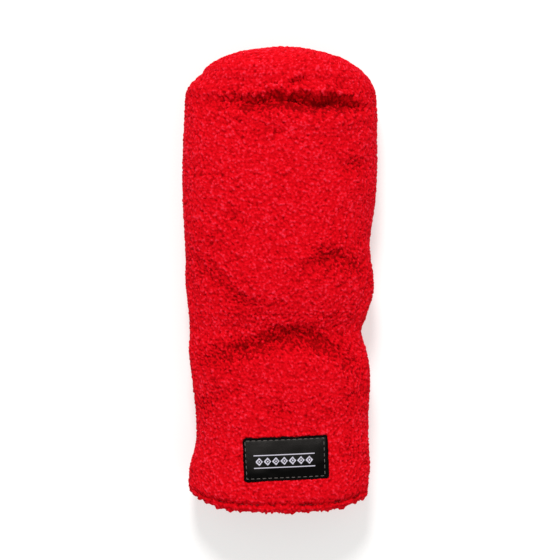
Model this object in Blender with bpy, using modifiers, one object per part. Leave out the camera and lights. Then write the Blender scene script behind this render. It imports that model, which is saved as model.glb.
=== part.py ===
"""Golf club headcover: a sherpa-fleece sleeve, closed and domed at the crown, open at the mouth.

The cover lies flat on its back, as it is stored. +Y runs from the mouth to the crown, +Z points up out of the
front panel, and the origin is on the surface it lies on, below the middle of the cover. Metres throughout.

The sewn pieces are three outer sherpa panels (front, back, crown), three lining panels inside them, a band of
elastic round the neck between the two layers, a woven label, and the thread runs that hold them together.
Every layer is taken from one sleeve surface: the outer panels at its full size, the others inset from it.
"""

import math

import bmesh
import bpy
from mathutils import Vector

MM = 0.001

# ---------------------------------------------------------------- driving dimensions, in millimetres
HALF_LENGTH = 160.0  # from the middle to the crown's top, and to the middle of the mouth
Z_SEAM = 24.0  # height of the side seams above the surface that the cover lies on
SECTION_POWER = 2.6  # superellipse power of the cross-section
BACK_FLAT = 1.05  # the back is cut flat where its section would pass this share of its depth

OUTER_WALL = 5.8  # sherpa: knitted backing and pile together
HEM_WALL = 9.9  # the same cloth turned in at the mouth, two layers pressed together
LINING_INSET = 8.6  # outer surface of the lining, inside the outer surface of the sherpa
LINING_WALL = 1.3
ELASTIC_INSET = 6.4
ELASTIC_WALL = 0.9
ELASTIC_LOW, ELASTIC_HIGH = -45.0, -25.0  # a 20 mm band, round the neck
SEAM_GAP = 1.1  # between two panels' edges, where their seam thread lies

CROWN_SEAM_Y = 142.0
CROWN_RIDGE_Y = 124.0  # where the sleeve starts to close
LINING_CROWN_Y = 134.0
LINING_LOW = -139.0

MOUTH_ARC = 15.0  # how much shorter the sleeve is at its sides than at its middle
MOUTH_ARC_POWER = 2.6
HEM_TOP_Y = -145.0  # the cloth is doubled from here to the mouth's edge
HEM_STITCH_Y = -152.5
HEM_GROOVE = 1.6  # how deep the hem's stitching sinks into the pile

THREAD_R = 0.25
HEM_THREAD_R = 0.3
LINING_THREAD_R = 0.2

LABEL_W, LABEL_H, LABEL_T = 57.5, 29.5, 0.8
LABEL_CENTRE = (4.0, -120.0)
LABEL_TURN = math.radians(2.5)
LABEL_STITCH_INSET = 2.3

# y, left edge, right edge, height of the front above the side seams, depth of the back below them
STATIONS = [
    (-160, -61.0, 60.0, 19.5, 22.5),
    (-146, -62.5, 60.5, 23.0, 24.0),
    (-131, -61.5, 61.5, 24.0, 24.0),
    (-110, -57.5, 60.5, 24.0, 24.0),
    (-85, -58.0, 61.0, 24.5, 24.0),
    (-62, -61.0, 61.5, 25.0, 24.0),
    (-47, -62.5, 59.0, 22.5, 23.0),
    (-35, -61.5, 55.5, 20.0, 21.5),
    (-22, -62.5, 59.5, 22.5, 23.0),
    (-4, -64.5, 64.3, 26.5, 24.0),
    (25, -65.0, 61.5, 28.5, 24.0),
    (55, -66.4, 65.5, 29.5, 24.0),
    (90, -66.5, 66.5, 30.0, 24.0),
    (112, -65.6, 66.5, 29.5, 24.0),
    (124, -65.0, 66.2, 27.5, 24.0),
]
FRONT_AT_CROWN, BACK_AT_CROWN = 27.5, 24.0

ROUND = 36  # points round the sleeve, half of them over the front
# where the rows of the outer sleeve lie, along its middle line
ROWS = [
    -160, -155, -152.5, -150, -145, -141, -131, -115, -98, -82, -65, -52, -45, -40, -35, -30, -25, -15, -2,
    12, 30, 55, 80, 100, 114, 124, 133, 142, 147, 151.5, 155, 157.8, 159.4, 160,
]  # fmt: skip


# ---------------------------------------------------------------- the sleeve's surface


def between(y, column):
    """A station's dimension at any y, on a smooth curve through the stations."""
    ys = [s[0] for s in STATIONS]
    y = min(max(y, ys[0]), ys[-1])
    i = max(k for k in range(len(ys) - 1) if ys[k] <= y)
    t = (y - ys[i]) / (ys[i + 1] - ys[i])

    def slope(k):
        low, high = max(k - 1, 0), min(k + 1, len(ys) - 1)
        return (STATIONS[high][column] - STATIONS[low][column]) / (ys[high] - ys[low])

    a, b = STATIONS[i][column], STATIONS[i + 1][column]
    h = ys[i + 1] - ys[i]
    return (
        (2 * t**3 - 3 * t**2 + 1) * a
        + (t**3 - 2 * t**2 + t) * h * slope(i)
        + (3 * t**2 - 2 * t**3) * b
        + (t**3 - t**2) * h * slope(i + 1)
    )


def section(y):
    """(middle, half width, front height, back depth) of the sleeve at y."""
    if y <= CROWN_RIDGE_Y:
        left, right, front, back = (between(y, c) for c in (1, 2, 3, 4))
        return (left + right) / 2, (right - left) / 2, front, min(back, Z_SEAM)
    # The outline closes as a half ellipse, and the thickness as a rounder dome past the crown seam.
    left, right = STATIONS[-1][1], STATIONS[-1][2]
    along = min((y - CROWN_RIDGE_Y) / (HALF_LENGTH - CROWN_RIDGE_Y), 1.0)
    wide = math.sqrt(max(1 - along**2, 0.0))
    dome = min(max((y - CROWN_SEAM_Y) / (HALF_LENGTH + 0.3 - CROWN_SEAM_Y), 0.0), 1.0)
    high = math.sqrt(max(1 - dome**2, 0.0)) if y < HALF_LENGTH else 0.0
    return (left + right) / 2, (right - left) / 2 * wide, FRONT_AT_CROWN * high, BACK_AT_CROWN * high


def half_section(a, b, flat):
    """Points at equal steps along a half superellipse, from -a to a. flat is the height it is cut off at, or None."""
    fine = []
    for k in range(361):
        t = math.pi * k / 360
        x = -a * math.copysign(abs(math.cos(t)) ** (2 / SECTION_POWER), math.cos(t))
        z = b * abs(math.sin(t)) ** (2 / SECTION_POWER)
        fine.append((x, min(z, flat) if flat is not None else z))
    along = [0.0]
    for p, q in zip(fine, fine[1:]):
        along.append(along[-1] + math.dist(p, q))
    points, j = [], 0
    for k in range(ROUND // 2 + 1):
        want = along[-1] * k / (ROUND // 2)
        while j < len(along) - 2 and along[j + 1] < want:
            j += 1
        step = along[j + 1] - along[j]
        t = (want - along[j]) / step if step > 1e-9 else 0.0
        points.append(
            (fine[j][0] + t * (fine[j + 1][0] - fine[j][0]), fine[j][1] + t * (fine[j + 1][1] - fine[j][1]))
        )
    return points


RINGS = {}


def ring(y):
    """The ROUND points of the section at y: over the front from the left side seam, and back under it."""
    key = round(y, 4)
    if key not in RINGS:
        middle, a, front, back = section(y)
        over = half_section(a, front, None)
        under = half_section(a, back * BACK_FLAT, back)
        points = [(middle + x, Z_SEAM + z) for x, z in over]
        points += [(middle + x, Z_SEAM - z) for x, z in reversed(under[1:-1])]
        fade = min(max((-100 - y) / 60, 0.0), 1.0)
        fade = fade * fade * (3 - 2 * fade)
        RINGS[key] = [
            Vector((x, y + MOUTH_ARC * fade * (abs(x - middle) / max(a, 1e-6)) ** MOUTH_ARC_POWER, z))
            for x, z in points
        ]
    return RINGS[key]


def on_sleeve(u, y):
    """The point of the sleeve's outer surface at ring position u, from 0 to ROUND, and middle-line position y."""
    points = ring(y)
    i = math.floor(u) % ROUND
    return points[i].lerp(points[(i + 1) % ROUND], u - math.floor(u))


def inset(u, y, depth):
    """The point this far inside the sleeve's outer surface."""
    y_in = min(y, 159.0)
    across = on_sleeve(u + 0.5, y_in) - on_sleeve(u - 0.5, y_in)
    along = on_sleeve(u, min(y_in + 0.8, 159.8)) - on_sleeve(u, max(y_in - 0.8, -160.0))
    if y >= HALF_LENGTH - 0.01:  # the crown's top, where the rings meet in a point
        return Vector((on_sleeve(0, y).x, HALF_LENGTH - depth, Z_SEAM))
    outward = across.cross(along).normalized()
    return on_sleeve(u, y) + outward * depth * -1.0


def front_height(x, y):
    """Height of the front panel above the surface that the cover lies on."""
    middle, a, front, _ = section(y)
    return Z_SEAM + front * (1 - abs((x - middle) / a) ** SECTION_POWER) ** (1 / SECTION_POWER)


# ---------------------------------------------------------------- building tools


def clear_scene():
    for obj in list(bpy.data.objects):
        bpy.data.objects.remove(obj, do_unlink=True)


def material(name, colour, roughness):
    made = bpy.data.materials.new(name)
    made.use_nodes = True
    bsdf = made.node_tree.nodes["Principled BSDF"]
    bsdf.inputs["Base Color"].default_value = (*colour, 1.0)
    bsdf.inputs["Roughness"].default_value = roughness
    bsdf.inputs["Metallic"].default_value = 0.0
    return made


def place(obj, collection, finish):
    collection.objects.link(obj)
    obj.data.materials.append(finish)
    return obj


def sleeve_mesh(name, rows, depth):
    """A sheet wrapped into a sleeve: one column per ring point, one row per entry of rows, at this inset."""
    mesh = bpy.data.meshes.new(name)
    bm = bmesh.new()
    bmesh.ops.create_grid(bm, x_segments=ROUND, y_segments=len(rows) - 1, size=1.0)
    doubled = bm.verts.layers.deform.new()
    for v in bm.verts:
        u = round((v.co.x + 1) / 2 * ROUND)
        y = rows[round((v.co.y + 1) / 2 * (len(rows) - 1))]
        sunk = HEM_GROOVE if depth == 0 and y == HEM_STITCH_Y else 0.0
        v.co = inset(u % ROUND, y, depth + sunk) * MM
        if y <= HEM_TOP_Y:
            v[doubled][0] = 1 - sunk / HEM_WALL
    bmesh.ops.remove_doubles(bm, verts=bm.verts, dist=0.00002)
    bmesh.ops.recalc_face_normals(bm, faces=bm.faces)
    bm.faces.ensure_lookup_table()
    highest = max(bm.faces, key=lambda f: f.calc_center_median().z)
    if highest.normal.z < 0:
        bmesh.ops.reverse_faces(bm, faces=bm.faces)
    bm.to_mesh(mesh)
    bm.free()
    mesh.shade_smooth()
    return mesh


def box_cutter(name, low, high, collection):
    """A box between two corners, in millimetres, used only to trim the sleeve's panels."""
    bm = bmesh.new()
    bmesh.ops.create_cube(bm, size=1.0)
    low, high = Vector(low), Vector(high)
    for v in bm.verts:
        v.co = Vector(((low[i] + high[i]) / 2 + v.co[i] * (high[i] - low[i]) for i in range(3))) * MM
    mesh = bpy.data.meshes.new(name)
    bm.to_mesh(mesh)
    bm.free()
    cutter = bpy.data.objects.new(name, mesh)
    cutter.hide_render = True
    cutter.display_type = "WIRE"
    collection.objects.link(cutter)
    return cutter


def shell(obj, thickness, group=None, thin=1.0):
    solid = obj.modifiers.new("wall", "SOLIDIFY")
    solid.thickness = thickness * MM
    solid.offset = -1.0
    solid.use_even_offset = True
    if group:
        solid.vertex_group = group
        solid.thickness_vertex_group = thin
    return solid


def trim(obj, cutter):
    cut = obj.modifiers.new("trim", "BOOLEAN")
    cut.operation = "INTERSECT"
    cut.solver = "EXACT"
    cut.object = cutter
    return cut


def thread(name, points, radius, collection, finish, closed=False):
    """A run of thread along these points, in millimetres."""
    curve = bpy.data.curves.new(name, "CURVE")
    curve.dimensions = "3D"
    curve.bevel_depth = radius * MM
    curve.bevel_resolution = 1
    curve.use_fill_caps = not closed
    spline = curve.splines.new("POLY")
    spline.points.add(len(points) - 1)
    for point, p in zip(spline.points, points):
        point.co = (*(p * MM), 1.0)
    spline.use_cyclic_u = closed
    return place(bpy.data.objects.new(name, curve), collection, finish)


# ---------------------------------------------------------------- the model

clear_scene()
parts = bpy.data.collections.new("golf_club_headcover")
cutters = bpy.data.collections.new("headcover_cutters")
bpy.context.scene.collection.children.link(parts)
bpy.context.scene.collection.children.link(cutters)

sherpa = material("sherpa_red", (0.72, 0.006, 0.016), 0.95)
lining_cloth = material("lining_black", (0.02, 0.02, 0.022), 0.8)
elastic_web = material("elastic_white", (0.75, 0.74, 0.7), 0.7)
label_cloth = material("label_black", (0.012, 0.012, 0.012), 0.55)
red_thread = material("thread_red", (0.45, 0.004, 0.01), 0.6)
black_thread = material("thread_black", (0.03, 0.027, 0.025), 0.5)

FAR = 400.0
HALF_GAP = SEAM_GAP / 2

# Outer panels: the sleeve's wall, cut at the side seams and at the crown seam.
outer = sleeve_mesh("outer_sleeve", ROWS, 0.0)
for name, low, high in (
    ("outer_front_panel", (-FAR, -FAR, Z_SEAM + HALF_GAP), (FAR, CROWN_SEAM_Y - HALF_GAP, FAR)),
    ("outer_back_panel", (-FAR, -FAR, -FAR), (FAR, CROWN_SEAM_Y - HALF_GAP, Z_SEAM - HALF_GAP)),
    ("outer_crown_panel", (-FAR, CROWN_SEAM_Y + HALF_GAP, -FAR), (FAR, FAR, FAR)),
):
    panel = place(bpy.data.objects.new(name, outer.copy()), parts, sherpa)
    panel.vertex_groups.new(name="doubled")
    shell(panel, HEM_WALL, "doubled", OUTER_WALL / HEM_WALL)
    trim(panel, box_cutter(name + "_cutter", low, high, cutters))

# Lining panels: a thinner sleeve inside, sewn to the hem's turned-in edge.
lining_rows = [LINING_LOW] + [y for y in ROWS if y > LINING_LOW]
lining = sleeve_mesh("lining_sleeve", lining_rows, LINING_INSET)
for name, low, high in (
    ("lining_front_panel", (-FAR, -FAR, Z_SEAM + HALF_GAP), (FAR, LINING_CROWN_Y - HALF_GAP, FAR)),
    ("lining_back_panel", (-FAR, -FAR, -FAR), (FAR, LINING_CROWN_Y - HALF_GAP, Z_SEAM - HALF_GAP)),
    ("lining_crown_panel", (-FAR, LINING_CROWN_Y + HALF_GAP, -FAR), (FAR, FAR, FAR)),
):
    panel = place(bpy.data.objects.new(name, lining.copy()), parts, lining_cloth)
    shell(panel, LINING_WALL)
    trim(panel, box_cutter(name + "_cutter", low, high, cutters))

# The neck's elastic: a closed band between the sherpa and the lining.
band_rows = [ELASTIC_LOW, -40, -35, -30, ELASTIC_HIGH]
band = place(
    bpy.data.objects.new("neck_elastic", sleeve_mesh("neck_elastic", band_rows, ELASTIC_INSET)), parts, elastic_web
)
shell(band, ELASTIC_WALL)

# Its stitching runs zigzag on the band's inner face.
zigzag = [
    inset(k / 2, (-35.0, -31.0, -35.0, -39.0)[k % 4], ELASTIC_INSET + ELASTIC_WALL + 0.4 + LINING_THREAD_R)
    for k in range(ROUND * 2)
]
thread("neck_elastic_stitching", zigzag, LINING_THREAD_R, parts, red_thread, closed=True)

# Side seams of the outer panels, from the hem to the crown seam, half way through the wall.
for name, u, side in (("left_side_seam_thread", 0, 1), ("right_side_seam_thread", ROUND // 2, -1)):
    run = []
    for y in [r for r in ROWS if -158 < r < CROWN_SEAM_Y - 2] + [CROWN_SEAM_Y - 1.6]:
        p = on_sleeve(u, y)
        run.append(Vector((p.x + side * 3.6, p.y, Z_SEAM)))
    thread(name, run, THREAD_R, parts, red_thread)

# The crown seam's thread, round the gap between the crown panel and the sleeve.
around = [inset(k, CROWN_SEAM_Y, 3.4) for k in range(ROUND)]
thread(
    "crown_seam_thread",
    [Vector((p.x, CROWN_SEAM_Y, p.z)) for p in around],
    THREAD_R,
    parts,
    red_thread,
    closed=True,
)

# The lining's seams, made the same way.
for name, u, side in (("lining_left_seam_thread", 0, 1), ("lining_right_seam_thread", ROUND // 2, -1)):
    run = []
    for y in [r for r in ROWS if LINING_LOW + 2 < r < LINING_CROWN_Y - 4] + [LINING_CROWN_Y - 1.6]:
        p = inset(u, y, LINING_INSET + 0.7)
        run.append(Vector((p.x, p.y, Z_SEAM)))
    thread(name, run, LINING_THREAD_R, parts, black_thread)
around = [inset(k, LINING_CROWN_Y + 5.2, LINING_INSET + 0.7) for k in range(ROUND)]
thread(
    "lining_crown_seam_thread",
    [Vector((p.x, LINING_CROWN_Y, p.z)) for p in around],
    LINING_THREAD_R,
    parts,
    black_thread,
    closed=True,
)

# The hem's stitching lies in the groove that it pulls into the pile.
hem_run = [inset(k, HEM_STITCH_Y, HEM_GROOVE - 0.45 - HEM_THREAD_R) for k in range(ROUND)]
thread("hem_stitching", hem_run, HEM_THREAD_R, parts, red_thread, closed=True)


# The woven label follows the front panel, a little turned, and is sewn round its four sides.
def on_label(p, q, lift):
    """p, q: millimetres right of and above the label's middle. lift: above the front panel."""
    x = LABEL_CENTRE[0] + p * math.cos(LABEL_TURN) - q * math.sin(LABEL_TURN)
    y = LABEL_CENTRE[1] + p * math.sin(LABEL_TURN) + q * math.cos(LABEL_TURN)
    return Vector((x, y, front_height(x, y) + lift))


label_mesh = bpy.data.meshes.new("woven_label")
bm = bmesh.new()
bmesh.ops.create_grid(bm, x_segments=10, y_segments=4, size=0.5)
for v in bm.verts:
    v.co = on_label(v.co.x * LABEL_W, v.co.y * LABEL_H, 0.35 + LABEL_T) * MM
bmesh.ops.recalc_face_normals(bm, faces=bm.faces)
bm.faces.ensure_lookup_table()
if bm.faces[0].normal.z < 0:
    bmesh.ops.reverse_faces(bm, faces=bm.faces)
bm.to_mesh(label_mesh)
bm.free()
label = place(bpy.data.objects.new("woven_label", label_mesh), parts, label_cloth)
shell(label, LABEL_T)

hp, hq = LABEL_W / 2 - LABEL_STITCH_INSET, LABEL_H / 2 - LABEL_STITCH_INSET
corners = [(-hp, -hq), (hp, -hq), (hp, hq), (-hp, hq)]
loop = []
for (p0, q0), (p1, q1) in zip(corners, corners[1:] + corners[:1]):
    steps = 10 if q0 == q1 else 4
    loop += [(p0 + (p1 - p0) * k / steps, q0 + (q1 - q0) * k / steps) for k in range(steps)]
thread(
    "label_stitching",
    [on_label(p, q, 0.35 + LABEL_T + 0.35 + LINING_THREAD_R) for p, q in loop],
    LINING_THREAD_R,
    parts,
    black_thread,
    closed=True,
)
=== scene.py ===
"""Looks of the sherpa headcover: pile panels, lining, elastic, label and stitching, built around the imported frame.

Lengths in the helpers are in millimetres. Meshes are stored in metres, in the frame's own axes: +X right,
+Y towards the crown, +Z up out of the front.
"""

import math

import bpy
import numpy as np
from mathutils import Matrix, Vector


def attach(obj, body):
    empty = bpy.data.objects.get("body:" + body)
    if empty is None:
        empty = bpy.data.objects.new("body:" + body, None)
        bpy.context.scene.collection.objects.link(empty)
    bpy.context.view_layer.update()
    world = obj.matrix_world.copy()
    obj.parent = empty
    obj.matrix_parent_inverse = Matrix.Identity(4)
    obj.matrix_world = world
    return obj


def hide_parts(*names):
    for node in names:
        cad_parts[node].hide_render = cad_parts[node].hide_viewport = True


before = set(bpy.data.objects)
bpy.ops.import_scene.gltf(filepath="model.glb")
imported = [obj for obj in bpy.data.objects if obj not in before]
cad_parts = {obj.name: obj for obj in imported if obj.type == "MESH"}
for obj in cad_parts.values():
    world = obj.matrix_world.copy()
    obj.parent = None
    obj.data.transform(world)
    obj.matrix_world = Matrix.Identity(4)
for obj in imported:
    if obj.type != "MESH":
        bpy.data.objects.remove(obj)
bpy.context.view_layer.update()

MM = 0.001

# ------------------------------------------------------------------------------------------------ the sleeve

HALF_LENGTH = 160.0
Z_SEAM = 24.0
POWER = 2.6
BACK_FLAT = 1.05
CROWN_SEAM = 142.0
RIDGE = 124.0
MOUTH_ARC, MOUTH_POWER = (10.8, 8.4), 4.0  # the mouth's edge rises to its left and right ends
ROUND = 36.0

# y, left edge, right edge, front height above the side seams, back depth below them
STATIONS = np.array(
    [
        (-160, -61.0, 60.0, 22.4, 22.5),
        (-146, -62.5, 60.5, 24.0, 24.0),
        (-131, -61.5, 61.5, 24.0, 24.0),
        (-110, -57.5, 60.5, 24.0, 24.0),
        (-85, -58.0, 61.0, 24.5, 24.0),
        (-62, -61.0, 61.5, 25.0, 24.0),
        (-47, -62.5, 59.0, 23.5, 23.0),
        (-35, -61.5, 55.5, 22.6, 21.5),
        (-22, -62.5, 59.5, 25.4, 23.0),
        (-4, -64.5, 64.3, 27.4, 24.0),
        (25, -65.0, 61.5, 28.5, 24.0),
        (55, -66.4, 65.5, 29.5, 24.0),
        (90, -66.5, 66.5, 30.0, 24.0),
        (112, -65.6, 66.5, 29.5, 24.0),
        (124, -65.0, 66.2, 27.5, 24.0),
    ]
)
FRONT_AT_CROWN, BACK_AT_CROWN = 27.5, 24.0


def hermite(y, xs, vs):
    """A smooth curve through (xs, vs), read at y."""
    slopes = np.gradient(vs, xs)
    for k in range(1, len(xs) - 1):
        slopes[k] = (vs[k + 1] - vs[k - 1]) / (xs[k + 1] - xs[k - 1])
    y = np.clip(y, xs[0], xs[-1])
    i = np.clip(np.searchsorted(xs, y, side="right") - 1, 0, len(xs) - 2)
    h = xs[i + 1] - xs[i]
    t = (y - xs[i]) / h
    return (
        (2 * t**3 - 3 * t**2 + 1) * vs[i]
        + (t**3 - 2 * t**2 + t) * h * slopes[i]
        + (3 * t**2 - 2 * t**3) * vs[i + 1]
        + (t**3 - t**2) * h * slopes[i + 1]
    )


def section(y):
    """(middle, half width, front height, back depth) at one y."""
    if y <= RIDGE:
        left, right, front, back = (float(hermite(y, STATIONS[:, 0], STATIONS[:, c])) for c in (1, 2, 3, 4))
        return (left + right) / 2, (right - left) / 2, front, min(back, Z_SEAM)
    left, right = STATIONS[-1, 1], STATIONS[-1, 2]
    along = min((y - RIDGE) / (HALF_LENGTH - RIDGE), 1.0)
    wide = math.sqrt(max(1 - along**2, 0.0))
    dome = min(max((y - CROWN_SEAM) / (HALF_LENGTH + 0.3 - CROWN_SEAM), 0.0), 1.0)
    high = math.sqrt(max(1 - dome**2, 0.0))
    return (left + right) / 2, (right - left) / 2 * wide, FRONT_AT_CROWN * high, BACK_AT_CROWN * high


def superellipse_half(a, b, flat, n_out):
    """n_out points at equal steps along half a superellipse, from -a to a."""
    t = np.linspace(0, math.pi, 1441)
    x = -a * np.sign(np.cos(t)) * np.abs(np.cos(t)) ** (2 / POWER)
    z = b * np.abs(np.sin(t)) ** (2 / POWER)
    if flat is not None:
        z = np.minimum(z, flat)
    along = np.concatenate([[0], np.cumsum(np.hypot(np.diff(x), np.diff(z)))])
    want = np.linspace(0, along[-1], n_out)
    return np.interp(want, along, x), np.interp(want, along, z), along[-1]


TABLE_U = 576  # columns round the sleeve, half of them over the front


def ring_points(y):
    """The section at y as TABLE_U + 1 points, over the front from the left side seam, then back under it."""
    middle, a, front, back = section(y)
    a = max(a, 1e-4)
    xo, zo, _ = superellipse_half(a, front, None, TABLE_U // 2 + 1)
    xu, zu, _ = superellipse_half(a, back * BACK_FLAT, back, TABLE_U // 2 + 1)
    x = np.concatenate([xo, xu[::-1][1:]])
    z = np.concatenate([Z_SEAM + zo, Z_SEAM - zu[::-1][1:]])
    fade = min(max((-100 - y) / 60, 0.0), 1.0)
    fade = fade * fade * (3 - 2 * fade)
    rise = np.where(x > 0, MOUTH_ARC[1], MOUTH_ARC[0])
    yy = y + rise * fade * np.clip(np.abs(x) / a, 0, 1) ** MOUTH_POWER
    # the crown's left corner is pushed in a little
    x = x + 3.4 * math.exp(-(((y - 140.3) / 6.2) ** 2)) * np.clip(-x / a, 0, 1) ** 2
    return np.stack([middle + x, yy, z], 1)


# Rows of the table: even steps of y up to the crown seam, then even turns over the dome.
BODY_ROWS = np.arange(-160.0, CROWN_SEAM + 0.01, 1.0)
DOME_TURNS = np.linspace(0, 90, 61)[1:]
DOME_Y = CROWN_SEAM + (HALF_LENGTH - CROWN_SEAM) * np.sin(np.radians(DOME_TURNS))
TABLE_W = np.concatenate([BODY_ROWS, CROWN_SEAM + 0.45 * DOME_TURNS])  # w: y on the body, then turn over the dome
TABLE = np.stack([ring_points(y) for y in np.concatenate([BODY_ROWS, DOME_Y])])
W_TOP = float(TABLE_W[-1])


def surface(u, w):
    """Points of the smooth sleeve at ring position u (0 to 36) and w (y on the body, up to W_TOP at the pole)."""
    u = np.mod(np.asarray(u, float), ROUND) / ROUND * TABLE_U
    i = np.minimum(u.astype(int), TABLE_U - 1)
    fu = (u - i)[..., None]
    w = np.clip(w, TABLE_W[0], W_TOP)
    j = np.clip(np.searchsorted(TABLE_W, w, side="right") - 1, 0, len(TABLE_W) - 2)
    fw = ((w - TABLE_W[j]) / (TABLE_W[j + 1] - TABLE_W[j]))[..., None]
    return (TABLE[j, i] * (1 - fu) + TABLE[j, i + 1] * fu) * (1 - fw) + (
        TABLE[j + 1, i] * (1 - fu) + TABLE[j + 1, i + 1] * fu
    ) * fw


def normal_of(u, w):
    """Outward normals of the smooth sleeve."""
    du, dw = 0.18, 1.2
    across = surface(u + du, w) - surface(u - du, w)
    along = surface(u, np.minimum(w + dw, W_TOP - 0.6)) - surface(u, np.minimum(w - dw, W_TOP - 3.0))
    n = np.cross(across, along)
    n /= np.maximum(np.linalg.norm(n, axis=-1, keepdims=True), 1e-9)
    return n


# ------------------------------------------------------------------------------------------------ noise and pile


def lattice_noise(x, y, seed):
    """Smooth noise from -1 to 1 with features one unit wide."""
    grid = np.random.default_rng(seed).uniform(-1, 1, (128, 128))
    xi, yi = np.floor(x).astype(int), np.floor(y).astype(int)
    fx, fy = x - xi, y - yi
    fx, fy = fx * fx * (3 - 2 * fx), fy * fy * (3 - 2 * fy)

    def g(a, b):
        return grid[np.mod(a, 128), np.mod(b, 128)]

    return (g(xi, yi) * (1 - fx) + g(xi + 1, yi) * fx) * (1 - fy) + (
        g(xi, yi + 1) * (1 - fx) + g(xi + 1, yi + 1) * fx
    ) * fy


def curls(s, t, seed, cell_s=2.15, cell_t=1.8):
    """Height of the curly pile in millimetres at cloth coordinates s, t, and a tone from 0 to 1 for each curl.

    Each curl is a short bent rope of fibres, lying more across the cloth than along it."""
    rng = np.random.default_rng(seed)
    size = 200
    jitter = rng.uniform(-0.38, 0.38, (size, size, 2))
    turn = rng.normal(0, 0.75, (size, size))
    bend = rng.uniform(-1.3, 1.3, (size, size))
    half = rng.uniform(0.1, 0.75, (size, size))
    radius = rng.uniform(0.85, 1.15, (size, size))
    lift = rng.uniform(0.15, 0.65, (size, size))
    tone = rng.uniform(0, 1, (size, size))
    ci, cj = np.floor(s / cell_s).astype(int), np.floor(t / cell_t).astype(int)
    best = np.zeros_like(s)
    best_tone = np.full_like(s, 0.5)
    for di in (-1, 0, 1):
        for dj in (-1, 0, 1):
            i, j = ci + di, cj + dj
            # every other row of curls is offset, like brickwork
            mi, mj = np.mod(i, size), np.mod(j, size)
            cx = (i + 0.5 + 0.5 * np.mod(j, 2) - 0.25 + jitter[mi, mj, 0]) * cell_s
            cy = (j + 0.5 + jitter[mi, mj, 1]) * cell_t
            a, h, k = turn[mi, mj], half[mi, mj], bend[mi, mj]
            r = radius[mi, mj]
            dx, dy = s - cx, t - cy
            p = dx * np.cos(a) + dy * np.sin(a)
            q = -dx * np.sin(a) + dy * np.cos(a)
            q = q - k * 0.35 * (p / 1.2) ** 2 + 0.15 * k
            p = np.maximum(np.abs(p) - h, 0.0)
            d2 = (p * p + q * q) / (r * r)
            top = lift[mi, mj] + 0.95 * r * np.sqrt(np.maximum(1 - d2, 0.0))
            top = np.where(d2 < 1, top, 0.0)
            won = top > best
            best = np.where(won, top, best)
            best_tone = np.where(won, tone[mi, mj], best_tone)
    return best, best_tone


# ------------------------------------------------------------------------------------------------ creases


def crease(x, y, path, shape):
    """How far down (mm) a crease pushes the cloth. path: (x, y, depth, lower width, upper width) along it."""
    path = np.asarray(path, float)
    best = np.full(x.shape, 1e9)
    near = [np.zeros(x.shape) for _ in range(4)]
    for a, b in zip(path, path[1:]):
        ab = b[:2] - a[:2]
        length2 = float(ab @ ab)
        t = np.clip(((x - a[0]) * ab[0] + (y - a[1]) * ab[1]) / length2, 0, 1)
        dx, dy = x - (a[0] + t * ab[0]), y - (a[1] + t * ab[1])
        d = np.hypot(dx, dy)
        side = np.sign(ab[0] * dy - ab[1] * dx)  # positive above a path that runs left to right
        closer = d < best
        best = np.where(closer, d, best)
        for k, value in enumerate(
            (side, a[2] + t * (b[2] - a[2]), a[3] + t * (b[3] - a[3]), a[4] + t * (b[4] - a[4]))
        ):
            near[k] = np.where(closer, value, near[k])
    side, depth, low, high = near
    width = np.where(side > 0, high, low)
    r = best / width
    valley = np.exp(-(r**2))
    shoulder = shape * np.exp(-((r - 1.75) ** 2) / 0.5)
    return depth * (valley - shoulder)


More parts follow.
